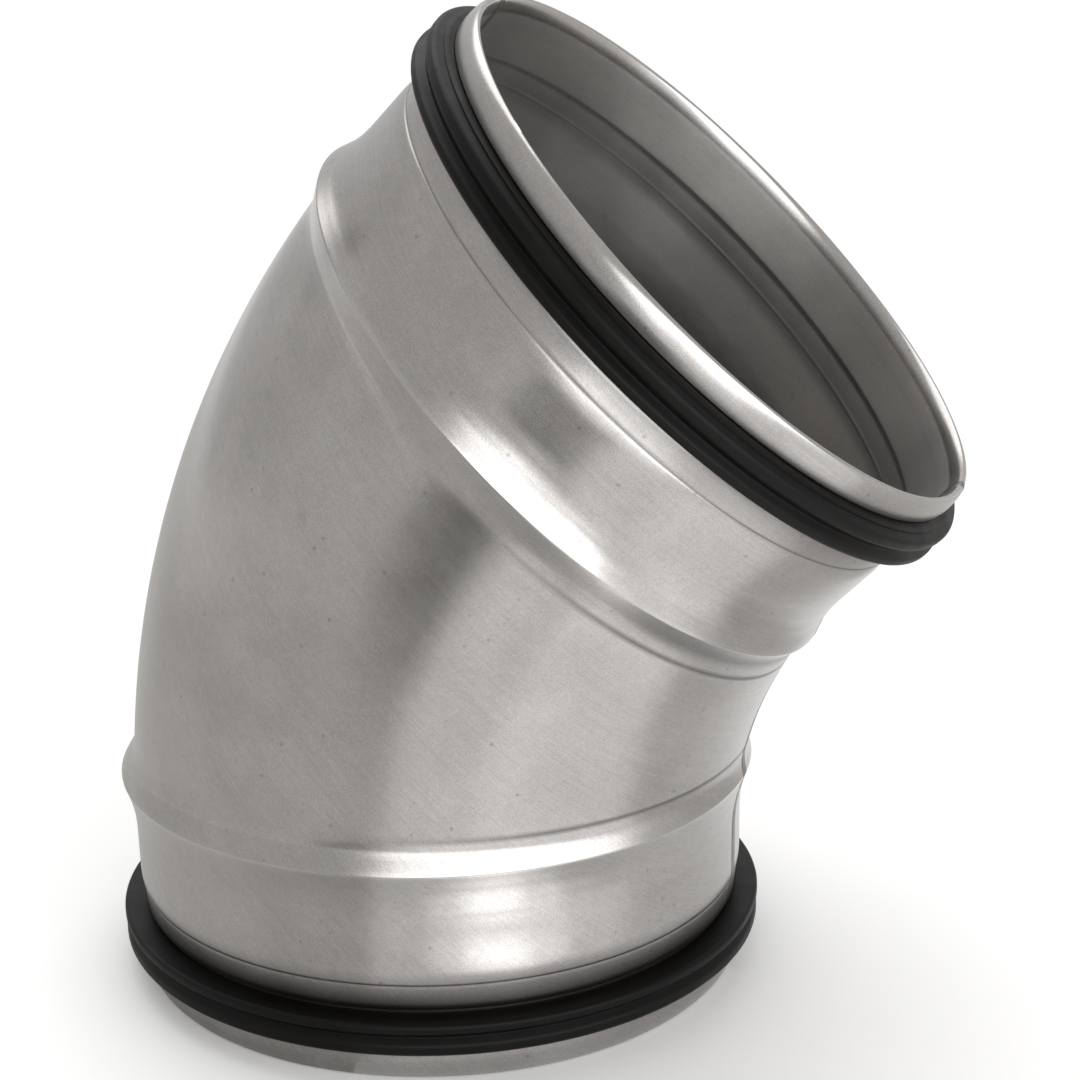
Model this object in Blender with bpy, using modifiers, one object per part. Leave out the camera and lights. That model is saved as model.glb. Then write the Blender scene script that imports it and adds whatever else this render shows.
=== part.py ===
"""Pressed 45 degree duct bend with a rubber lip seal on each spigot.

Two pressed half shells of galvanised sheet meet in the plane of the bend and are
welded along the heel (the long outer side) and the throat (the short inner side).
Each spigot carries a stop bead, a seat for a rubber double-lip seal and a hem that
holds the seal's foot. The bend lies in the XZ plane and stands on its lower rim.
"""
from math import asin, cos, pi, radians, sin, sqrt

import bmesh
import bpy
from mathutils import Matrix, Vector

MM = 0.001

# Driving dimensions of the bend
TURN = radians(45)
SPIGOT_RADIUS = 79.5 * MM                 # outside, for a 160 mm duct
BEND_RADIUS = 2.167 * SPIGOT_RADIUS       # of the duct's centre line
SPIGOT_LENGTH = 38.4 * MM                 # tangent plane of the bend to the rim
SHEET = 0.7 * MM
HALF_TURN_STEPS = 18                      # facets round each half shell
BODY_STEPS = 12                           # rings along the curved body

# Bead: a long ramp on the spigot side, a steep drop on the body side
CREST_STATION = -14.3 * MM
CREST_RADIUS = 82.2 * MM
BODY_STATION = -22.6 * MM                 # where the drop runs into the body
RAMP_START = -1.2 * MM
RAMP_SHARES = (0.0, 0.3, 0.5, 0.7, 0.85, 1.0)
RAMP_CURVE = 2.0                          # 1 would be a straight cone
DROP_SHARES = ((0.10, 0.09), (0.40, 0.48), (0.68, 0.84), (1.0, 1.0))   # along, down

# Swage: the spigot tapers to the seal's seat, with a die line along the taper
TAPER_START = 10.2 * MM
SHOULDER_STATION = 12.2 * MM
SHOULDER_RADIUS = 79.38 * MM
CREASE_STATION = 14.2 * MM
CREASE_RADIUS = 79.06 * MM
NECK_RADIUS = 78.0 * MM
SEAT_STATION = 20.2 * MM
SEAT_STEP = 1.0 * MM
SEAT_RADIUS = 77.4 * MM

# Hem: the sheet turned back outwards round the rim, open towards the seal
HEM_EDGE_STATION = 31.6 * MM
HEM_EDGE_RADIUS = 79.05 * MM
HEM_FOLD_RADIUS = 0.65 * MM               # of the fold's hollow side
HEM_FOLD_CENTRE = SEAT_RADIUS + HEM_FOLD_RADIUS
HEM_FOLD_STATION = SPIGOT_LENGTH - SHEET - HEM_FOLD_RADIUS * cos(radians(18))
HEM_FOLD_STEPS = 5                        # odd, so the rim has one flat land

# Weld seams between the half shells
GAP = 0.3 * MM
SEAM_HALF_WIDTH = 1.5 * MM
SEAM_STEPS = 2
SEAM_HALF_ANGLE = asin(SEAM_HALF_WIDTH / SPIGOT_RADIUS)
SHELL_START_ANGLE = asin((SEAM_HALF_WIDTH + GAP) / SPIGOT_RADIUS)

# Seal: a ring in the seat, two thick lips and a foot under the hem
SEAL_STEPS = 48
SEAL_INNER_RADIUS = SEAT_RADIUS + GAP
SEAL_OUTER_RADIUS = 84.3 * MM
SEAL_BACK_STATION = 21.6 * MM
SEAL_FRONT_STATION = HEM_EDGE_STATION - GAP
FOOT_STATION = 36.0 * MM
FOOT_HEIGHT = 0.65 * MM
HEEL_HEIGHT = 0.9 * MM
# Millimetres behind the front face, and below the outer radius
FRONT_LIP = ((0.2, 4.1), (0.9, 1.9), (1.8, 0.75), (2.9, 0.3), (4.0, 0.7))
VALLEY = ((5.2, 1.45), (6.0, 1.45))
# Millimetres ahead of the back face, and below the outer radius
BACK_LIP = ((2.4, 0.35), (1.4, 0.0), (0.5, 0.35), (0.0, 1.2))
MERGE = 0.00001


def fold_points():
    """The hem's fold from its outer ply round the rim to its inner ply."""
    points = []
    for step in range(HEM_FOLD_STEPS + 1):
        angle = pi / 2 - pi * step / HEM_FOLD_STEPS
        station = HEM_FOLD_STATION + HEM_FOLD_RADIUS * cos(angle)
        radius = HEM_FOLD_CENTRE + HEM_FOLD_RADIUS * sin(angle)
        points.append((station, radius))
    return points


def ramp_points():
    """The bead's long ramp, which rises from the spigot to the crest."""
    points = []
    for share in RAMP_SHARES:
        station = RAMP_START + share * (CREST_STATION - RAMP_START)
        rise = share ** RAMP_CURVE
        points.append((station, SPIGOT_RADIUS + rise * (CREST_RADIUS - SPIGOT_RADIUS)))
    return points


def spigot_profile():
    """Stations out from the tangent plane, and outside radii, from hem edge to crest."""
    points = [(HEM_EDGE_STATION, HEM_EDGE_RADIUS)]
    points += fold_points()
    points += [
        (SEAT_STATION + SEAT_STEP, SEAT_RADIUS),
        (SEAT_STATION, NECK_RADIUS),
        (CREASE_STATION, CREASE_RADIUS),
        (SHOULDER_STATION, SHOULDER_RADIUS),
        (TAPER_START, SPIGOT_RADIUS),
    ]
    points += ramp_points()
    return points


def drop_profile():
    """Stations on the bead's steep side, with the share of the way down to the body."""
    length = BODY_STATION - CREST_STATION
    return [(CREST_STATION + along * length, down) for along, down in DROP_SHARES]


def end_frames():
    """Local frames of the lower and the upper spigot at the bend's tangent planes.

    Local +Z runs out of the mouth and local +X points towards the throat.
    """
    lower = Matrix.Translation((0, 0, SPIGOT_LENGTH)) @ Matrix.Rotation(pi, 4, "X")
    centre = Vector((BEND_RADIUS, 0, SPIGOT_LENGTH))
    swing = Matrix.Translation(centre) @ Matrix.Rotation(TURN, 4, "Y")
    swing = swing @ Matrix.Translation(-centre)
    upper = swing @ Matrix.Translation((0, 0, SPIGOT_LENGTH))
    return lower, upper


LOWER_FRAME, UPPER_FRAME = end_frames()


def body_reach(angle):
    """Distance from the bend's axis to the body's wall at an angle round the duct."""
    return BEND_RADIUS - SPIGOT_RADIUS * cos(angle)


def spigot_point(frame, side, station, radius, angle):
    place = frame @ Vector((radius * cos(angle), 0, station))
    place.y = side * radius * sin(angle)
    return place


def drop_point(frame, side, station, down, angle):
    """A point between the crest's circle and the body's own section at a station."""
    body_x = BEND_RADIUS - sqrt(body_reach(angle) ** 2 - station ** 2)
    crest_x = CREST_RADIUS * cos(angle)
    place = frame @ Vector((crest_x + down * (body_x - crest_x), 0, station))
    radius = CREST_RADIUS + down * (SPIGOT_RADIUS - CREST_RADIUS)
    place.y = side * radius * sin(angle)
    return place


def body_point(side, share, angle):
    """A point on the curved body, at a share of the way from the lower bead."""
    reach = body_reach(angle)
    start = asin(-BODY_STATION / reach)
    swing = start + share * (TURN - 2 * start)
    x = BEND_RADIUS - reach * cos(swing)
    z = SPIGOT_LENGTH + reach * sin(swing)
    return Vector((x, side * SPIGOT_RADIUS * sin(angle), z))


def shell_rings():
    """One function of (side, angle) for each ring, from lower hem to upper hem."""
    def spigot(frame):
        rings = []
        for station, radius in spigot_profile():
            rings.append(lambda side, angle, s=station, r=radius:
                         spigot_point(frame, side, s, r, angle))
        for station, down in drop_profile():
            rings.append(lambda side, angle, s=station, d=down:
                         drop_point(frame, side, s, d, angle))
        return rings

    body = []
    for step in range(1, BODY_STEPS):
        body.append(lambda side, angle, share=step / BODY_STEPS:
                    body_point(side, share, angle))
    return spigot(LOWER_FRAME) + body + spigot(UPPER_FRAME)[::-1]


def pressed_sheet(name, side, first_angle, last_angle, steps, collection, material):
    """Sheet metal over a range of angles round the duct, from one mouth to the other.

    A flat grid is laid onto the rings, which are unlike: round at the spigots and
    swung round the bend's axis in the body. Solidify then gives it its gauge.
    """
    rings = shell_rings()
    rows = len(rings) - 1
    grid = bmesh.new()
    bmesh.ops.create_grid(grid, x_segments=steps, y_segments=rows, size=0.5)
    for vert in grid.verts:
        angle = first_angle + (vert.co.x + 0.5) * (last_angle - first_angle)
        ring = rings[round((vert.co.y + 0.5) * rows)]
        vert.co = ring(side, angle)
    if side < 0:
        bmesh.ops.reverse_faces(grid, faces=grid.faces)
    mesh = bpy.data.meshes.new(name)
    grid.to_mesh(mesh)
    grid.free()
    mesh.shade_smooth()
    sheet = bpy.data.objects.new(name, mesh)
    collection.objects.link(sheet)
    mesh.materials.append(material)
    gauge = sheet.modifiers.new("gauge", "SOLIDIFY")
    gauge.thickness = SHEET
    gauge.offset = -1
    gauge.use_even_offset = True
    return sheet


def seal_outline():
    """The seal's closed outline: foot, front face, two lips, back face and base."""
    points = [
        (FOOT_STATION, SEAL_INNER_RADIUS),
        (FOOT_STATION, SEAL_INNER_RADIUS + FOOT_HEIGHT),
        (SEAL_FRONT_STATION, SEAL_INNER_RADIUS + HEEL_HEIGHT),
    ]
    for behind, below in FRONT_LIP + VALLEY:
        points.append((SEAL_FRONT_STATION - behind * MM, SEAL_OUTER_RADIUS - below * MM))
    for ahead, below in BACK_LIP:
        points.append((SEAL_BACK_STATION + ahead * MM, SEAL_OUTER_RADIUS - below * MM))
    points.append((SEAL_BACK_STATION, SEAL_INNER_RADIUS))
    return points


def lip_seal(name, frame, collection, material):
    """A rubber double-lip seal, turned round its spigot's axis."""
    outline = seal_outline()
    count = len(outline)
    points = [(radius, 0, station) for station, radius in outline]
    edges = [(i, (i + 1) % count) for i in range(count)]
    mesh = bpy.data.meshes.new(name)
    mesh.from_pydata(points, edges, [])
    mesh.materials.append(material)
    seal = bpy.data.objects.new(name, mesh)
    collection.objects.link(seal)
    seal.matrix_world = frame
    turned = seal.modifiers.new("turned", "SCREW")
    turned.axis = "Z"
    turned.steps = SEAL_STEPS
    turned.render_steps = SEAL_STEPS
    turned.use_merge_vertices = True
    turned.merge_threshold = MERGE
    turned.use_smooth_shade = True
    return seal


def finish(name, colour, roughness, metallic):
    """A plain material with a base colour, roughness and metallic value."""
    material = bpy.data.materials.new(name)
    material.use_nodes = True
    shader = material.node_tree.nodes["Principled BSDF"]
    shader.inputs["Base Color"].default_value = (*colour, 1)
    shader.inputs["Roughness"].default_value = roughness
    shader.inputs["Metallic"].default_value = metallic
    return material


def stand_on_origin(objects):
    """Move everything so the origin is the bottom centre of the whole bend's box."""
    bpy.context.view_layer.update()
    graph = bpy.context.evaluated_depsgraph_get()
    corners = []
    for part in objects:
        mesh = part.evaluated_get(graph).to_mesh()
        corners += [part.matrix_world @ vert.co for vert in mesh.vertices]
    low = Vector(min(corner[axis] for corner in corners) for axis in range(3))
    high = Vector(max(corner[axis] for corner in corners) for axis in range(3))
    centre = Vector(((low.x + high.x) / 2, (low.y + high.y) / 2, low.z))
    base = bpy.data.objects.new("duct_bend_frame", None)
    base.location = -centre
    bpy.context.scene.collection.objects.link(base)
    for part in objects:
        part.parent = base


def build():
    for old in list(bpy.data.objects):
        bpy.data.objects.remove(old)
    bend = bpy.data.collections.new("duct_bend")
    bpy.context.scene.collection.children.link(bend)

    steel = finish("galvanised_steel", (0.47, 0.46, 0.44), 0.38, 1.0)
    weld = finish("weld_steel", (0.40, 0.39, 0.38), 0.45, 1.0)
    rubber = finish("seal_rubber", (0.016, 0.015, 0.014), 0.55, 0.0)

    start = SHELL_START_ANGLE
    seam = SEAM_HALF_ANGLE
    parts = [
        pressed_sheet("front_half_shell", -1, start, pi - start, HALF_TURN_STEPS, bend, steel),
        pressed_sheet("back_half_shell", 1, start, pi - start, HALF_TURN_STEPS, bend, steel),
        pressed_sheet("heel_weld_seam", -1, pi - seam, pi + seam, SEAM_STEPS, bend, weld),
        pressed_sheet("throat_weld_seam", -1, -seam, seam, SEAM_STEPS, bend, weld),
        lip_seal("lower_seal", LOWER_FRAME, bend, rubber),
        lip_seal("upper_seal", UPPER_FRAME, bend, rubber),
    ]
    stand_on_origin(parts)


build()
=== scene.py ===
"""Looks of a pressed 45 degree duct bend with a rubber lip seal on each spigot.

The bend lies in the XZ plane and stands on its lower rim. Each spigot is drawn in a
frame of its own: stations run from the bend's tangent plane out to the rim, angle 0
is the throat (the short inner side) and half a turn is the heel (the long outer side).
"""

from math import asin, atan2, ceil, cos, exp, pi, radians, sin, sqrt, tan

import bmesh
import bpy
from mathutils import Matrix, Vector, noise


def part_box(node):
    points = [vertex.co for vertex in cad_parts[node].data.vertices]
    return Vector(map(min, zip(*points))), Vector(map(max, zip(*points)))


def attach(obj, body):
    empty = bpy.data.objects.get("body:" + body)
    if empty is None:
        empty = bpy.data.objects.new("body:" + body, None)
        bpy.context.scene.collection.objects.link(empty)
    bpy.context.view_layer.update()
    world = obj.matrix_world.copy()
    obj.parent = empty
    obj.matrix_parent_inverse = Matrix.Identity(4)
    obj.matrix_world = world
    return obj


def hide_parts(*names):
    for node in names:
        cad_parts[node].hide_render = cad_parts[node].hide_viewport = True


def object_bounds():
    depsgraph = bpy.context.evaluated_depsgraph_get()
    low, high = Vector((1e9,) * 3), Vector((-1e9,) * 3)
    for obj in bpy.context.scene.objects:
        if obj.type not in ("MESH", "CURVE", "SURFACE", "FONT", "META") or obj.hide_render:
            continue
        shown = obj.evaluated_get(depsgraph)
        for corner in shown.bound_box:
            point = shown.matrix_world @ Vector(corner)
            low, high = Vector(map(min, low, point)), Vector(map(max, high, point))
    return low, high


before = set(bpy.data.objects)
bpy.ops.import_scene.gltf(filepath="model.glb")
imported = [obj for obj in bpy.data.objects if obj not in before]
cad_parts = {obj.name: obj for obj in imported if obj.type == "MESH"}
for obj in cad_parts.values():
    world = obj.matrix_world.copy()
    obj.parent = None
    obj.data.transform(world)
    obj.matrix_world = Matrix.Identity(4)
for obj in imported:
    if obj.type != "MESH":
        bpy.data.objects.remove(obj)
CAD_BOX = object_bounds()

MM = 0.001
BODY = "root"

# The bend
TURN = radians(45)
SPIGOT_RADIUS = 79.5 * MM
BEND_RADIUS = 2.167 * SPIGOT_RADIUS
SPIGOT_LENGTH = 38.4 * MM
WALL = 0.7 * MM                      # through the weld; the sheet is thinner by two skins
SKIN = 0.1 * MM                      # how far the sheet lies below the weld's crown

# Stop bead: long ramp, crest, drop, skirt and the line the die leaves at its foot
RAMP_KNEE = -7.5 * MM                # where the ramp's two tangents meet
RAMP_CURVE = 31 * MM
CREST_STATION = -14.4 * MM
CREST_RADIUS = 82.4 * MM
CREST_CURVE = 0.8 * MM
SKIRT_STATION = -19.9 * MM
SKIRT_RADIUS = 79.9 * MM
SKIRT_CURVE = 5 * MM
FOOT_STATION = -22.8 * MM
CREST_TOP = 82.32 * MM
LOWER_SLIP = -0.8 * MM               # of the crest along its spigot, off nominal
UPPER_SLIP = 0.7 * MM
SLIP_REACH = 5 * MM
LINE_DEPTH = 0.08 * MM               # of the lines the die leaves at the foot and the taper

# Swage: the spigot tapers to the seal's seat, with a die line along the taper
TAPER_START = 10.2 * MM
TAPER_CURVE = 19 * MM
CREASE_STATION = 14.2 * MM
CREASE_RADIUS = 79.06 * MM
CREASE_SLOPE = tan(radians(9.5))
NECK_SLOPE = tan(radians(3.5))       # where the neck meets the seat's step
SEAT_STATION = 20.2 * MM
SEAT_RADIUS = 77.4 * MM

# Hem round the rim
HEM_EDGE_STATION = 31.6 * MM
HEM_EDGE_RADIUS = 78.75 * MM
HEM_CENTRE_STATION = 33.3 * MM
HEM_CENTRE_RADIUS = SEAT_RADIUS + 0.75 * MM
HEM_OUTER_HEIGHT = 0.85 * MM
HEM_LENGTH = SPIGOT_LENGTH - WALL - 0.08 * MM - HEM_CENTRE_STATION

# Weld seams
WELD_HALF_WIDTH = 1.5 * MM
WELD_FLANGE = 2.3 * MM               # half width of the fused metal under the sheet's edge
WELD_GROOVE = 0.3 * MM               # beside the weld, and its depth

# Lip seals
SEAL_OUTER_RADIUS = 84.3 * MM
SEAL_INNER_RADIUS = SEAT_RADIUS + 0.3 * MM
SEAL_BACK = 21.6 * MM
SEAL_FRONT = 31.3 * MM
SEAL_FOOT = 36.0 * MM

# Painted shade at each end: the neck darkened as a painted reflection of the black seal and its
# shadow, and the drop and neck towards the throat darkened as a painted reflection of the duct's
# own dark lower parts
LOWER_PAINTED_SHADE = (1.0, 0.0)
UPPER_PAINTED_SHADE = (0.1, 0.55)

# Grease left on the front shell: place in the CAD frame, reach, strength
SMUDGES = (
    (Vector((-20.5, -57.0, 192.3)) * MM, 4.2 * MM, 0.34),
    (Vector((-24.5, -53.5, 190.0)) * MM, 7.0 * MM, 0.16),
    (Vector((-30.6, -55.3, 182.5)) * MM, 3.2 * MM, 0.14),
    (Vector((-27.7, -74.4, 135.0)) * MM, 0.9 * MM, 0.5),
)

# The die struck the bead's foot hard at the throat and let go of it round the side
STRUCK_ANGLE = radians(88)
STRUCK_FADE = radians(34)

# Unevenness of the drawn sheet: how far apart the waves lie and how high they stand
BROAD_WAVE = (34 * MM, 0.09 * MM)
CLOSE_WAVE = (11 * MM, 0.022 * MM)
CALM_REACH = 30 * MM                 # over which the sheet comes true towards each rim

# Floor of the stage
FLOOR_HALF_WIDTH = 60
FLOOR_GAP = 0.05 * MM                # under the lower rim

# Mesh fineness
TAPER_STEPS = 9
TAPER_CROWDING = 1.6                 # draws the taper's rings towards the die line
HALF_TURN_STEPS = 150
WELD_STEPS = 24
BODY_ROWS = 44
HEM_STEPS = 20
ARC_STEP = radians(9)
LONGEST_STEP = 1.6 * MM
SEAL_STEPS = 240


def srgb(code):
    """A hex colour as a linear RGBA value."""
    channels = []
    for start in (1, 3, 5):
        value = int(code[start:start + 2], 16) / 255
        channels.append(value / 12.92 if value <= 0.04045 else ((value + 0.055) / 1.055) ** 2.4)
    return (*channels, 1.0)


# ---------------------------------------------------------------- outlines


def filleted(corners, closed=False):
    """A drawn outline with each corner (station, radius, fillet) rounded by an arc."""
    count = len(corners)
    points = []
    for i, (station, radius, fillet) in enumerate(corners):
        here = Vector((station, radius))
        if fillet == 0 or (not closed and i in (0, count - 1)):
            points.append(here)
            continue
        before = (Vector(corners[i - 1][:2]) - here).normalized()
        after = (Vector(corners[(i + 1) % count][:2]) - here).normalized()
        half = before.angle(after) / 2
        reach = fillet / tan(half)
        centre = here + (before + after).normalized() * fillet / sin(half)
        first = here + before * reach - centre
        last = here + after * reach - centre
        sweep = atan2(first.cross(last), first.dot(last))
        steps = max(2, ceil(abs(sweep) / ARC_STEP))
        for step in range(steps + 1):
            turn = Matrix.Rotation(sweep * step / steps, 2)
            points.append(centre + turn @ first)
    return points


def subdivided(points, longest):
    """The same outline with no step longer than a given length."""
    fine = [points[0]]
    for start, end in zip(points, points[1:]):
        steps = max(1, ceil((end - start).length / longest))
        fine += [start.lerp(end, step / steps) for step in range(1, steps + 1)]
    return fine


def hem_outline():
    """Hem edge, round the fold, along the seat and up its step to the neck."""
    fold = []
    for step in range(HEM_STEPS + 1):
        angle = pi / 2 - pi * step / HEM_STEPS
        height = HEM_OUTER_HEIGHT if step < HEM_STEPS / 2 else HEM_CENTRE_RADIUS - SEAT_RADIUS
        station = HEM_CENTRE_STATION + HEM_LENGTH * cos(angle)
        fold.append(Vector((station, HEM_CENTRE_RADIUS + height * sin(angle))))
    seat = filleted([
        (HEM_CENTRE_STATION, SEAT_RADIUS, 0),
        (SEAT_STATION + 0.9 * MM, SEAT_RADIUS, 0.4 * MM),
        (*neck_point(SEAT_STATION), 0),
    ])
    edge = [Vector((HEM_EDGE_STATION, HEM_EDGE_RADIUS))]
    return subdivided(edge + fold + seat[1:], LONGEST_STEP)


def neck_point(station):
    """A point on the hollow taper between the die line and the seat's step."""
    run = station - CREASE_STATION
    whole = SEAT_STATION - CREASE_STATION
    fall = run * CREASE_SLOPE - run ** 2 * (CREASE_SLOPE - NECK_SLOPE) / (2 * whole)
    return Vector((station, CREASE_RADIUS - fall))


def taper_outline():
    """Up the neck to the die line, and over the round shoulder to the plain spigot."""
    shares = [(step / TAPER_STEPS) ** TAPER_CROWDING for step in range(TAPER_STEPS + 1)]
    points = []
    for share in shares[:0:-1]:
        points.append(neck_point(CREASE_STATION + share * (SEAT_STATION - CREASE_STATION)))
    for share in shares:
        station = CREASE_STATION + share * (TAPER_START - CREASE_STATION)
        fall = TAPER_CURVE - sqrt(TAPER_CURVE ** 2 - (station - TAPER_START) ** 2)
        points.append(Vector((station, SPIGOT_RADIUS - fall)))
    return points


def bead_outline():
    """Plain spigot, ramp, crest, drop, skirt and foot, as they lie at the bend's side."""
    return subdivided(filleted([
        (TAPER_START, SPIGOT_RADIUS, 0),
        (RAMP_KNEE, SPIGOT_RADIUS, RAMP_CURVE),
        (CREST_STATION, CREST_RADIUS, CREST_CURVE),
        (SKIRT_STATION, SKIRT_RADIUS, SKIRT_CURVE),
        (FOOT_STATION, SPIGOT_RADIUS, 0),
    ]), LONGEST_STEP)


def band(station, centre, width):
    """1 at a station, fading softly to 0 on both sides of it."""
    return exp(-((station - centre) / width) ** 2)


def seal_outline():
    """The seal's closed outline: foot, front face, two round lips, back face, base."""
    outer = SEAL_OUTER_RADIUS
    inner = SEAL_INNER_RADIUS
    return filleted([
        (SEAL_FOOT, inner, 0.2 * MM),
        (SEAL_FOOT, inner + 0.65 * MM, 0.2 * MM),
        (SEAL_FRONT + 0.1 * MM, inner + 0.9 * MM, 0.2 * MM),
        (SEAL_FRONT - 0.1 * MM, SPIGOT_RADIUS + 1.3 * MM, 0.3 * MM),
        (SEAL_FRONT - 0.5 * MM, SPIGOT_RADIUS + 2.3 * MM, 0.12 * MM),
        (SEAL_FRONT - 0.9 * MM, SPIGOT_RADIUS + 2.2 * MM, 0.12 * MM),
        (SEAL_FRONT - 1.7 * MM, outer - 0.15 * MM, 1.3 * MM),
        (SEAL_FRONT - 4.2 * MM, outer - 0.2 * MM, 1.6 * MM),
        (SEAL_FRONT - 5.9 * MM, outer - 1.75 * MM, 0.25 * MM),
        (SEAL_FRONT - 6.5 * MM, outer - 1.2 * MM, 0.5 * MM),
        (SEAL_BACK + 2.2 * MM, outer, 0.9 * MM),
        (SEAL_BACK, outer, 1.1 * MM),
        (SEAL_BACK, inner, 0.2 * MM),
    ], closed=True)


# ---------------------------------------------------------------- places


def end_frames():
    """Frames of the lower and upper spigot at the bend's tangent planes.

    The lower seal gives the lower spigot's axis, and the whole box its rim.
    """
    low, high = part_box("lower_seal")
    axis_x = (low.x + high.x) / 2
    tangent_z = CAD_BOX[0].z + SPIGOT_LENGTH
    lower = Matrix.Translation((axis_x, 0, tangent_z)) @ Matrix.Rotation(pi, 4, "X")
    centre = Vector((axis_x + BEND_RADIUS, 0, tangent_z))
    swing = Matrix.Translation(centre) @ Matrix.Rotation(TURN, 4, "Y")
    upper = swing @ Matrix.Translation((axis_x - centre.x, 0, 0))
    return lower, upper, centre


LOWER_FRAME, UPPER_FRAME, BEND_CENTRE = end_frames()


def body_reach(angle):
    """Distance from the bend's axis to the body's wall at an angle round the duct."""
    return BEND_RADIUS - SPIGOT_RADIUS * cos(angle)


def spigot_point(spigot, side, station, radius, angle):
    """A point on a circle round a spigot's axis."""
    place = spigot @ Vector((radius * cos(angle), 0, station))
    place.y = side * radius * sin(angle)
    return place


def drop_point(spigot, side, station, radius, angle):
    """A point between the crest's circle and the body's own section at a station."""
    down = (CREST_TOP - radius) / (CREST_TOP - SPIGOT_RADIUS)
    body_x = BEND_RADIUS - sqrt(body_reach(angle) ** 2 - station ** 2)
    crest_x = CREST_TOP * cos(angle)
    place = spigot @ Vector((crest_x + down * (body_x - crest_x), 0, station))
    place.y = side * radius * sin(angle)
    return place


def body_point(side, share, angle):
    """A point on the curved body, at a share of the way from the lower bead."""
    reach = body_reach(angle)
    start = asin(-FOOT_STATION / reach)
    swing = start + share * (TURN - 2 * start)
    x = BEND_CENTRE.x - reach * cos(swing)
    z = BEND_CENTRE.z + reach * sin(swing)
    return Vector((x, side * SPIGOT_RADIUS * sin(angle), z))


def near_throat(angle):
    """How sharply the die struck the bead's foot: hard at the throat, not at the heel. The same
    share weights the painted shade at the foot and the painted reflection on the drop and neck.
    """
    return min(1.0, max(0.0, (STRUCK_ANGLE - angle) / STRUCK_FADE))


def shade_and_smudges_at(station, angle, spot, painted_shading):
    """How dark a place is painted: painted shade, painted reflections and real smudges.

    Painted shade darkens the creases: the die line, the bead's foot, the line below the crest,
    the seat and the hem's edge. The neck is painted dark as a reflection of the black seal and
    its shadow. The bead's drop and the neck towards the throat are painted dark as a reflection
    of the duct's own dark lower parts. Grease smudges are real stains.
    """
    black, throat_shade = painted_shading
    # Painted shade along the taper's die line, weaker where the neck is painted dark
    line = 0.75 * band(station, CREASE_STATION, 0.16 * MM) * (1 - 0.7 * black)
    # Painted shade at the bead's foot and just below its crest
    foot = 0.8 * near_throat(angle) * band(station, FOOT_STATION, 0.3 * MM)
    crest = 0.35 * band(station, CREST_STATION - 0.7 * MM, 0.5 * MM)
    # Painted reflection of the black seal and its shadow on the neck, and of the duct's dark
    # lower parts towards the throat
    towards_seat = min(1.0, max(0.0, (station - TAPER_START) / (SEAT_STATION - TAPER_START)))
    neck_shade = max(black, throat_shade * near_throat(angle)) * towards_seat ** 1.3
    neck = neck_shade if station < HEM_EDGE_STATION else 0.0
    # Painted shade at the hem's edge, against the seal
    hem = 0.45 * band(station, HEM_EDGE_STATION, 2.2 * MM)
    # Painted reflection of the duct's dark lower parts on the bead's drop
    drop = throat_shade * near_throat(angle) * band(station, CREST_STATION - 3.4 * MM, 2.0 * MM)
    # Painted shade at the seat, beside the seal's back
    seat = 0.5 * band(station, SEAT_STATION, 0.8 * MM)
    # Real grease smudges
    smudges = sum(strength * band((spot - place).length, 0.0, reach)
                  for place, reach, strength in SMUDGES)
    return min(1.0, line + foot + crest + neck + drop + seat + hem + smudges)


def polish_and_highlight_at(station):
    """How far a station is made smoother and painted lighter, a painted highlight: the bead's
    crest and the rim's nose.
    """
    crest = band(station, CREST_STATION, 0.9 * MM)
    rim = band(station, SPIGOT_LENGTH, 1.6 * MM)
    return min(1.0, crest + rim)


def spigot_rows(spigot, painted_shading, slip):
    """Rings of one spigot from the hem's edge to the bead's foot.

    Slip is how far the bead lies off its nominal station. Each ring also says whether
    its back is the duct's inside or the hem's outer ply.
    """
    swage = hem_outline() + taper_outline()[1:]
    outline = swage + bead_outline()[1:]
    rows = []
    length = 0.0
    before = outline[0]
    for index, (station, radius) in enumerate(outline):
        length += (Vector((station, radius)) - before).length
        before = Vector((station, radius))
        slid = station + slip * band(station, CREST_STATION, SLIP_REACH)
        if index < len(swage):
            sunk = radius - LINE_DEPTH * band(station, CREASE_STATION, 0.25 * MM)
            place = (lambda side, angle, s=station, r=sunk:
                     spigot_point(spigot, side, s, r, angle))
        elif station > CREST_STATION:
            place = (lambda side, angle, s=slid, r=radius:
                     spigot_point(spigot, side, s, r, angle))
        else:
            dip = -LINE_DEPTH * band(station, FOOT_STATION, 0.3 * MM)
            place = (lambda side, angle, s=slid, r=radius, d=dip:
                     drop_point(spigot, side, s, r + d * near_throat(angle), angle))
        rows.append((place, length, station, painted_shading, float(index > HEM_STEPS)))
    return rows


def sheet_rows():
    """Every ring from one hem to the other: (place, length, station, painted_shading, inside).

    Place is a function of the side and the angle round the duct, and length is
    measured along the sheet from the lower hem's edge.
    """
    lower = spigot_rows(LOWER_FRAME, LOWER_PAINTED_SHADE, LOWER_SLIP)
    upper = spigot_rows(UPPER_FRAME, UPPER_PAINTED_SHADE, UPPER_SLIP)
    body_length = TURN * BEND_RADIUS + 2 * FOOT_STATION
    start = lower[-1][1]
    body = []
    for step in range(1, BODY_ROWS):
        share = step / BODY_ROWS
        station = FOOT_STATION - min(share, 1 - share) * body_length
        place = (lambda side, angle, share=share: body_point(side, share, angle))
        body.append((place, start + share * body_length, station, (0.0, 0.0), 1.0))
    end = start + body_length + upper[-1][1]
    upper = [(place, end - length, *rest) for place, length, *rest in upper]
    return lower + body + upper[::-1]


ROWS = sheet_rows()


def waver(place):
    """Slight unevenness of pressed sheet, strongest on the free-drawn body."""
    length, height = BROAD_WAVE
    broad = noise.noise(place / length) * height
    length, height = CLOSE_WAVE
    return broad + noise.noise(place / length + Vector((7, 3, 5))) * height


# ---------------------------------------------------------------- meshes


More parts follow.
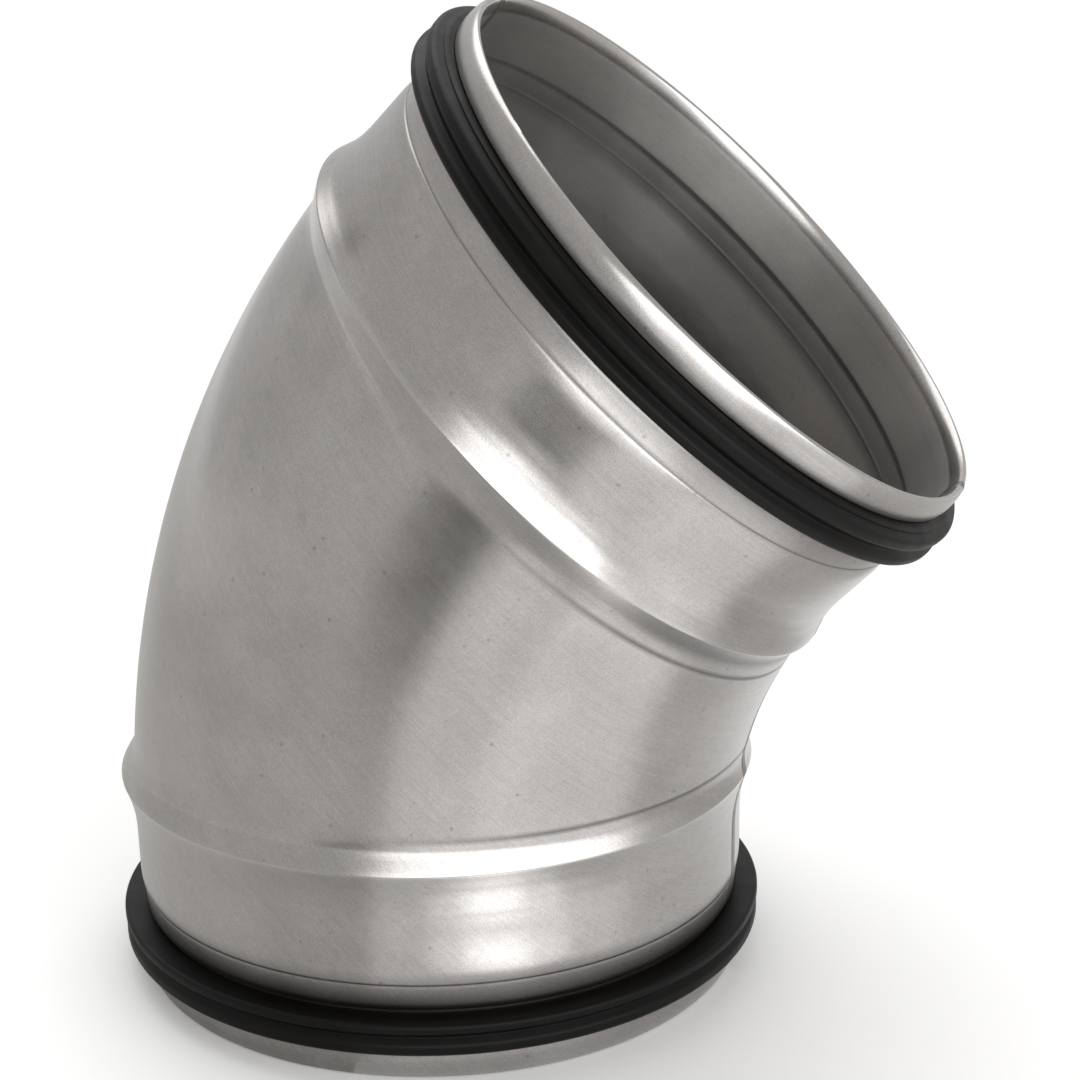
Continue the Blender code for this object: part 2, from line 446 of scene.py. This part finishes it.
def pressed_sheet(name, side, first_angle, last_angle, steps, lift):
    """Sheet metal over a range of angles round the duct, from one rim to the other.

    A flat grid is laid onto the rings, made uneven, given its gauge, and then each
    face is lifted or sunk by a function of the distance from the strip's middle.
    """
    count = len(ROWS) - 1
    grid = bmesh.new()
    bmesh.ops.create_grid(grid, x_segments=steps, y_segments=count, size=0.5)
    shade_and_smudges = grid.verts.layers.float.new("shade_and_smudges")
    polish_and_highlight = grid.verts.layers.float.new("polish_and_highlight")
    across = grid.verts.layers.float.new("across")
    inside = grid.verts.layers.float.new("inside")
    unrolled = grid.loops.layers.uv.new("unrolled")
    for face in grid.faces:
        for loop in face.loops:
            turn = first_angle + (loop.vert.co.x + 0.5) * (last_angle - first_angle)
            row = ROWS[round((loop.vert.co.y + 0.5) * count)]
            loop[unrolled].uv = (turn * SPIGOT_RADIUS, row[1])
    middle = (first_angle + last_angle) / 2
    for vert in grid.verts:
        turn = first_angle + (vert.co.x + 0.5) * (last_angle - first_angle)
        place, _, station, painted_shading, back = ROWS[round((vert.co.y + 0.5) * count)]
        vert.co = place(side, turn)
        vert[shade_and_smudges] = shade_and_smudges_at(station, turn, vert.co, painted_shading)
        vert[polish_and_highlight] = polish_and_highlight_at(station)
        vert[across] = (turn - middle) * SPIGOT_RADIUS
        vert[inside] = back
    if side < 0:
        bmesh.ops.reverse_faces(grid, faces=grid.faces)
    grid.normal_update()
    shifts = [waver(vert.co) * (1 - vert[shade_and_smudges]) for vert in grid.verts]
    for vert, shift in zip(grid.verts, shifts):
        calm = min(1.0, min(vert.co.z, CAD_BOX[1].z - vert.co.z) / CALM_REACH)
        vert.co += vert.normal * shift * max(0.0, calm)
    draft = bpy.data.meshes.new(name + "_draft")
    grid.to_mesh(draft)
    grid.free()
    front_count = len(draft.vertices)
    piece = bpy.data.objects.new(name, draft)
    bpy.context.scene.collection.objects.link(piece)
    gauge = piece.modifiers.new("gauge", "SOLIDIFY")
    gauge.thickness = WALL
    gauge.offset = -1
    gauge.use_even_offset = True
    graph = bpy.context.evaluated_depsgraph_get()
    mesh = bpy.data.meshes.new_from_object(piece.evaluated_get(graph))
    piece.modifiers.remove(gauge)
    piece.data = mesh
    mesh.name = name
    bpy.data.meshes.remove(draft)
    # The duct's inside keeps a quarter of the painted shade and smudges
    for index, item in enumerate(mesh.attributes["inside"].data):
        if index < front_count:
            item.value = 0.0
        elif item.value > 0.5:
            mesh.attributes["shade_and_smudges"].data[index].value *= 0.25
    offsets = [lift(item.value) for item in mesh.attributes["across"].data]
    normals = [vert.normal.copy() for vert in mesh.vertices]
    for vert, normal, offset in zip(mesh.vertices, normals, offsets):
        vert.co += normal * offset
    mesh.shade_smooth()
    mesh.set_sharp_from_angle(angle=radians(50))
    return piece


def sunk_skin(across):
    """The drawn sheet lies a skin's depth below the weld's crown all over."""
    return -SKIN


def weld_crown(across):
    """Height of the weld over its width: a low crown, a groove and a hidden flange."""
    share = abs(across) / WELD_HALF_WIDTH
    if share < 0.92:
        return -0.4 * SKIN * share ** 2
    fall = min(1.0, (share - 0.92) / 0.12)
    return -0.4 * SKIN - fall * (WELD_GROOVE - 0.4 * SKIN)


def lip_seal(name, spigot):
    """A rubber double-lip seal, turned round its spigot's axis."""
    outline = seal_outline()
    count = len(outline)
    points = [(radius, 0, station) for station, radius in outline]
    edges = [(i, (i + 1) % count) for i in range(count)]
    draft = bpy.data.meshes.new(name)
    draft.from_pydata(points, edges, [])
    piece = bpy.data.objects.new(name, draft)
    bpy.context.scene.collection.objects.link(piece)
    piece.matrix_world = spigot
    turned = piece.modifiers.new("turned", "SCREW")
    turned.axis = "Z"
    turned.steps = SEAL_STEPS
    turned.use_merge_vertices = True
    turned.merge_threshold = 0.01 * MM
    turned.use_smooth_shade = True
    bpy.context.view_layer.update()
    graph = bpy.context.evaluated_depsgraph_get()
    mesh = bpy.data.meshes.new_from_object(piece.evaluated_get(graph))
    mesh.transform(spigot)
    mesh.set_sharp_from_angle(angle=radians(40))
    piece.modifiers.remove(turned)
    piece.data = mesh
    piece.matrix_world = Matrix.Identity(4)
    bpy.data.meshes.remove(draft)
    mesh.name = name
    return piece


# ---------------------------------------------------------------- materials


def add(tree, kind, settings, inputs):
    """Add a shader node with its settings; its inputs are given values or linked."""
    node = tree.nodes.new(kind)
    for key, value in settings.items():
        setattr(node, key, value)
    for socket, value in inputs.items():
        if isinstance(value, bpy.types.NodeSocket):
            tree.links.new(value, node.inputs[socket])
        else:
            node.inputs[socket].default_value = value
    return node


def new_material(name, metallic, roughness):
    """A material with its node tree and shader."""
    material = bpy.data.materials.new(name)
    material.use_nodes = True
    shader = material.node_tree.nodes["Principled BSDF"]
    shader.inputs["Metallic"].default_value = metallic
    shader.inputs["Roughness"].default_value = roughness
    return material, material.node_tree, shader


def galvanised_sheet():
    """Hot-dip galvanised and skin-passed steel: grey, faintly clouded, rolled grain."""
    material, tree, shader = new_material("galvanised_sheet_steel", 1.0, 0.26)
    place = add(tree, "ShaderNodeTexCoord", {}, {}).outputs["Object"]
    shade_and_smudges = add(tree, "ShaderNodeAttribute", {"attribute_name": "shade_and_smudges"}, {}).outputs["Fac"]
    polish_and_highlight = add(tree, "ShaderNodeAttribute", {"attribute_name": "polish_and_highlight"}, {}).outputs["Fac"]
    inside = add(tree, "ShaderNodeAttribute", {"attribute_name": "inside"}, {}).outputs["Fac"]

    # Rolling lines run down the blank at a slant; real ones are finer than 0.1 mm
    slant = add(tree, "ShaderNodeMapping", {},
                {"Vector": place, "Rotation": (0, radians(-50), 0)}).outputs["Vector"]
    rolled = add(tree, "ShaderNodeMapping", {},
                 {"Vector": slant,
                  "Scale": (1 / (14 * MM), 1 / (14 * MM), 1 / (0.34 * MM))}).outputs["Vector"]
    grain = add(tree, "ShaderNodeTexNoise", {},
                {"Vector": rolled, "Scale": 1.0, "Detail": 1.5, "Roughness": 0.5}).outputs["Fac"]
    clouds = add(tree, "ShaderNodeTexNoise", {},
                 {"Vector": place, "Scale": 1 / (24 * MM), "Detail": 4.0,
                  "Roughness": 0.55}).outputs["Fac"]
    mottle = add(tree, "ShaderNodeTexNoise", {},
                 {"Vector": place, "Scale": 1 / (2.2 * MM), "Detail": 3.0,
                  "Roughness": 0.6}).outputs["Fac"]
    # Spangle grains, drawn at 0.3 mm; real ones are half that
    spangle = add(tree, "ShaderNodeTexNoise", {},
                  {"Vector": place, "Scale": 1 / (0.3 * MM), "Detail": 1.0,
                   "Roughness": 0.5}).outputs["Fac"]
    cells = add(tree, "ShaderNodeTexVoronoi", {},
                {"Vector": place, "Scale": 1 / (6.5 * MM)}).outputs["Distance"]
    pit = add(tree, "ShaderNodeMapRange", {},
              {"Value": cells, "From Min": 0.04, "From Max": 0.09,
               "To Min": 0.35, "To Max": 0.0}).outputs["Result"]

    cloud = add(tree, "ShaderNodeMapRange", {},
                {"Value": clouds, "From Min": 0.3, "From Max": 0.7}).outputs["Result"]
    zinc = add(tree, "ShaderNodeMix", {"data_type": "RGBA"},
               {0: cloud, 6: srgb("#a9a6a4"), 7: srgb("#b6b3b1")}).outputs[2]
    patch = add(tree, "ShaderNodeMapRange", {},
                {"Value": mottle, "From Min": 0.3, "From Max": 0.7,
                 "To Min": 0.93, "To Max": 1.0}).outputs["Result"]
    line = add(tree, "ShaderNodeMapRange", {},
               {"Value": grain, "From Min": 0.3, "From Max": 0.7,
                "To Min": 0.91, "To Max": 1.0}).outputs["Result"]
    fleck = add(tree, "ShaderNodeMapRange", {},
                {"Value": spangle, "From Min": 0.3, "From Max": 0.7,
                 "To Min": 0.86, "To Max": 1.08}).outputs["Result"]
    shade = add(tree, "ShaderNodeMath", {"operation": "MULTIPLY"},
                {0: patch, 1: line}).outputs[0]
    shade = add(tree, "ShaderNodeMath", {"operation": "MULTIPLY"},
                {0: shade, 1: fleck}).outputs[0]
    zinc = add(tree, "ShaderNodeVectorMath", {"operation": "SCALE"},
               {0: zinc, "Scale": shade}).outputs[0]
    zinc = add(tree, "ShaderNodeMix", {"data_type": "RGBA"},
               {0: pit, 6: zinc, 7: srgb("#5c5955")}).outputs[2]
    # Painted highlight: the bead's crest and the rim's nose are mixed towards a lighter zinc
    highlight_share = add(tree, "ShaderNodeMath", {"operation": "MULTIPLY"},
               {0: polish_and_highlight, 1: 0.3}).outputs[0]
    zinc = add(tree, "ShaderNodeMix", {"data_type": "RGBA"},
               {0: highlight_share, 6: zinc, 7: srgb("#d0cecb")}).outputs[2]
    # Painted light: the duct's inside is mixed towards a lighter zinc, for light reaching in
    # through the mouth
    inside_fill = add(tree, "ShaderNodeMath", {"operation": "MULTIPLY"},
                {0: inside, 1: 0.22}).outputs[0]
    zinc = add(tree, "ShaderNodeMix", {"data_type": "RGBA"},
               {0: inside_fill, 6: zinc, 7: srgb("#dbd8d5")}).outputs[2]
    # Painted shade in the creases and round the seal, painted reflections of the seal and the
    # duct's dark parts on the neck and drop, and real grease smudges: mixed towards a dark grey
    darkening = add(tree, "ShaderNodeMath", {"operation": "MULTIPLY"},
               {0: shade_and_smudges, 1: 0.85}).outputs[0]
    zinc = add(tree, "ShaderNodeMix", {"data_type": "RGBA"},
               {0: darkening, 6: zinc, 7: srgb("#383532")}).outputs[2]
    tree.links.new(zinc, shader.inputs["Base Color"])

    rough = add(tree, "ShaderNodeMapRange", {},
                {"Value": clouds, "From Min": 0.3, "From Max": 0.7,
                 "To Min": 0.23, "To Max": 0.28}).outputs["Result"]
    rough = add(tree, "ShaderNodeMath", {"operation": "MULTIPLY_ADD"},
                {0: shade_and_smudges, 1: 0.2, 2: rough}).outputs[0]
    rough = add(tree, "ShaderNodeMath", {"operation": "MULTIPLY_ADD"},
                {0: polish_and_highlight, 1: -0.05, 2: rough}).outputs[0]
    rough = add(tree, "ShaderNodeMath", {"operation": "MULTIPLY_ADD"},
                {0: inside, 1: 0.16, 2: rough}).outputs[0]
    tree.links.new(rough, shader.inputs["Roughness"])

    height = add(tree, "ShaderNodeMath", {"operation": "ADD"},
                 {0: grain, 1: spangle}).outputs[0]
    height = add(tree, "ShaderNodeMath", {"operation": "ADD"},
                 {0: height, 1: mottle}).outputs[0]
    bump = add(tree, "ShaderNodeBump", {},
               {"Height": height, "Strength": 0.2, "Distance": 0.012 * MM})
    tree.links.new(bump.outputs["Normal"], shader.inputs["Normal"])
    return material


def rolled_weld():
    """Seam-welded steel with the zinc burnt off: duller, and rippled by the wheel."""
    material, tree, shader = new_material("seam_welded_steel", 1.0, 0.42)
    unrolled = add(tree, "ShaderNodeUVMap", {"uv_map": "unrolled"}, {}).outputs["UV"]
    place = add(tree, "ShaderNodeTexCoord", {}, {}).outputs["Object"]
    shade_and_smudges = add(tree, "ShaderNodeAttribute", {"attribute_name": "shade_and_smudges"}, {}).outputs["Fac"]
    # The wheel's ripples stand 0.8 mm apart along the seam; a unit wave spans pi / 10
    ripples = add(tree, "ShaderNodeTexWave", {"bands_direction": "Y"},
                  {"Vector": unrolled, "Scale": pi / 10 / (0.8 * MM),
                   "Distortion": 2.0}).outputs["Fac"]
    clouds = add(tree, "ShaderNodeTexNoise", {},
                 {"Vector": place, "Scale": 1 / (4 * MM), "Detail": 3.0}).outputs["Fac"]
    burn = add(tree, "ShaderNodeMapRange", {},
               {"Value": clouds, "From Min": 0.3, "From Max": 0.7}).outputs["Result"]
    steel = add(tree, "ShaderNodeMix", {"data_type": "RGBA"},
                {0: burn, 6: srgb("#6c6865"), 7: srgb("#8d8986")}).outputs[2]
    # Painted shade and painted reflections from the sheet's rings, with real grease smudges:
    # mixed towards a dark grey
    darkening = add(tree, "ShaderNodeMath", {"operation": "MULTIPLY"},
               {0: shade_and_smudges, 1: 0.7}).outputs[0]
    steel = add(tree, "ShaderNodeMix", {"data_type": "RGBA"},
                {0: darkening, 6: steel, 7: srgb("#45423f")}).outputs[2]
    tree.links.new(steel, shader.inputs["Base Color"])
    rough = add(tree, "ShaderNodeMapRange", {},
                {"Value": clouds, "From Min": 0.3, "From Max": 0.7,
                 "To Min": 0.36, "To Max": 0.46}).outputs["Result"]
    tree.links.new(rough, shader.inputs["Roughness"])
    bump = add(tree, "ShaderNodeBump", {},
               {"Height": ripples, "Strength": 0.4, "Distance": 0.05 * MM})
    tree.links.new(bump.outputs["Normal"], shader.inputs["Normal"])
    return material


def moulded_rubber():
    """EPDM rubber, extruded and vulcanised: black with a satin bloom and fine drag."""
    material, tree, shader = new_material("vulcanised_epdm_rubber", 0.0, 0.5)
    shader.inputs["Specular IOR Level"].default_value = 0.13
    place = add(tree, "ShaderNodeTexCoord", {}, {}).outputs["Object"]
    bloom = add(tree, "ShaderNodeTexNoise", {},
                {"Vector": place, "Scale": 1 / (9 * MM), "Detail": 4.0,
                 "Roughness": 0.6}).outputs["Fac"]
    skin = add(tree, "ShaderNodeTexNoise", {},
               {"Vector": place, "Scale": 1 / (0.9 * MM), "Detail": 3.0,
                "Roughness": 0.65}).outputs["Fac"]
    share = add(tree, "ShaderNodeMapRange", {},
                {"Value": bloom, "From Min": 0.3, "From Max": 0.7}).outputs["Result"]
    black = add(tree, "ShaderNodeMix", {"data_type": "RGBA"},
                {0: share, 6: srgb("#060504"), 7: srgb("#0b0a09")}).outputs[2]
    tree.links.new(black, shader.inputs["Base Color"])
    rough = add(tree, "ShaderNodeMapRange", {},
                {"Value": bloom, "From Min": 0.3, "From Max": 0.7,
                 "To Min": 0.40, "To Max": 0.52}).outputs["Result"]
    tree.links.new(rough, shader.inputs["Roughness"])
    bump = add(tree, "ShaderNodeBump", {},
               {"Height": skin, "Strength": 0.25, "Distance": 0.03 * MM})
    tree.links.new(bump.outputs["Normal"], shader.inputs["Normal"])
    return material


# ---------------------------------------------------------------- studio


def aimed(place, target):
    """Rotation that points an object's -Z from a place at a target."""
    towards = Vector(target) - Vector(place)
    if towards.xy.length < 0.001:
        return (pi, 0, 0)
    return towards.to_track_quat("-Z", "Y").to_euler()


def softbox(name, place, target, width, height, power, shape="RECTANGLE"):
    """A soft light that shows in the metal but not to the camera."""
    light = bpy.data.lights.new(name, "AREA")
    light.shape = shape
    light.size = width
    light.size_y = height
    light.energy = power
    lamp = bpy.data.objects.new(name, light)
    lamp.location = place
    lamp.rotation_euler = aimed(place, target)
    lamp.visible_camera = False
    bpy.context.scene.collection.objects.link(lamp)
    return lamp


def flat_square(name, width, height, roughness, colour):
    """A flat matt board of the stage, lying face up."""
    sheet = bmesh.new()
    bmesh.ops.create_grid(sheet, x_segments=1, y_segments=1, size=0.5)
    mesh = bpy.data.meshes.new(name)
    sheet.to_mesh(mesh)
    sheet.free()
    board = bpy.data.objects.new(name, mesh)
    board.scale = (width, height, 1)
    bpy.context.scene.collection.objects.link(board)
    paint, _, shader = new_material(name + "_paint", 0.0, roughness)
    shader.inputs["Base Color"].default_value = srgb(colour)
    mesh.materials.append(paint)
    return board


def card(name, place, width, height, spin, colour):
    """A matt card that only the metal's reflections see."""
    board = flat_square(name, width, height, 0.9, colour)
    board.location = place
    board.rotation_euler.z = radians(spin)
    for ray in ("camera", "diffuse", "transmission", "shadow", "volume_scatter"):
        setattr(board, "visible_" + ray, False)


def studio():
    """A pale floor in plain soft light, with cards lying round it for the reflections."""
    floor = flat_square("floor", 2 * FLOOR_HALF_WIDTH, 2 * FLOOR_HALF_WIDTH, 0.8, "#fafafa")
    floor.location.z = CAD_BOX[0].z - FLOOR_GAP

    world = bpy.data.worlds.new("studio")
    world.use_nodes = True
    world.node_tree.nodes["Background"].inputs["Color"].default_value = srgb("#dad9d8")
    world.node_tree.nodes["Background"].inputs["Strength"].default_value = 1.0
    bpy.context.scene.world = world

    sky = bpy.data.lights.new("sky", "SUN")
    sky.energy = 1.3
    sky.angle = radians(60)
    lamp = bpy.data.objects.new("sky", sky)
    lamp.rotation_euler = aimed((-0.3, 0.6, 1.2), (0, 0, 0))
    bpy.context.scene.collection.objects.link(lamp)

    middle = (0, 0, 0.12)
    softbox("key", (0.63, -0.75, 0.31), middle, 1.85, 0.6, 8.6)
    softbox("bounce", (0.60, -0.60, 0.012), (0.60, -0.60, 1), 0.8, 0.52, 2.7)
    softbox("pool", (0.13, -0.12, 0.002), (0.13, -0.12, 1), 0.17, 0.15, 0.022, "ELLIPSE")
    for name, place, width, height, power in (
            ("kicker", (0.032, -0.092, 0.017), 0.030, 0.014, 0.0016),
            ("kicker_halo", (0.034, -0.092, 0.016), 0.066, 0.026, 0.0034)):
        kicker = softbox(name, place, (place[0], place[1], 1), width, height, power, "ELLIPSE")
        kicker.rotation_euler.z = radians(35)
    card("left_card", (-0.82, 0, 0), 1.6, 2.8, 0, "#cdccca")
    card("right_card", (0.92, 0.68, 0), 1.6, 1.44, 0, "#cfcecc")
    card("flag", (-0.065, -0.44, 0.006), 0.19, 0.11, 49, "#2f2d2b")
    card("flag_halo", (-0.065, -0.44, 0.005), 0.27, 0.19, 49, "#7a7876")
    card("far_flag", (-0.33, -0.98, 0.005), 0.9, 0.2, 68, "#4a4846")


def camera():
    """The eye, a little above and to the right of the bend."""
    lens = bpy.data.cameras.new("camera")
    lens.sensor_width = 36
    lens.lens = 70.41
    lens.shift_x = 0.0261
    lens.shift_y = 0.0795
    lens.clip_start = 0.01
    eye = bpy.data.objects.new("camera", lens)
    eye.location = (0.15375, -0.48749, 0.25983)
    azimuth, elevation, roll = radians(17.85), radians(18.535), radians(-1.273)
    turn = Matrix.Rotation(azimuth, 3, "Z") @ Matrix.Rotation(pi / 2 - elevation, 3, "X")
    eye.rotation_euler = (turn @ Matrix.Rotation(roll, 3, "Z")).to_euler()
    bpy.context.scene.collection.objects.link(eye)
    bpy.context.scene.camera = eye
    bpy.context.scene.view_settings.view_transform = "Standard"


# ---------------------------------------------------------------- assembly


def fit(piece, node, material):
    """Dress a piece, ride it on the bend and let it stand for its CAD node."""
    piece.data.materials.clear()
    piece.data.materials.append(material)
    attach(piece, BODY)
    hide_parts(node)


def build():
    """Every piece of the bend, each standing for one CAD node."""
    steel = galvanised_sheet()
    weld = rolled_weld()
    rubber = moulded_rubber()
    edge = (WELD_HALF_WIDTH + WELD_GROOVE) / SPIGOT_RADIUS
    flange = WELD_FLANGE / SPIGOT_RADIUS
    for name, side in (("front_half_shell", -1), ("back_half_shell", 1)):
        shell = pressed_sheet(name + "_sheet", side, edge, pi - edge, HALF_TURN_STEPS,
                              sunk_skin)
        fit(shell, name, steel)
    for name, middle in (("heel_weld_seam", pi), ("throat_weld_seam", 0.0)):
        seam = pressed_sheet(name + "_bead", -1, middle - flange, middle + flange,
                             WELD_STEPS, weld_crown)
        fit(seam, name, weld)
    for name, spigot in (("lower_seal", LOWER_FRAME), ("upper_seal", UPPER_FRAME)):
        seal = lip_seal(name + "_ring", spigot)
        fit(seal, name, rubber)


camera()
build()
studio()
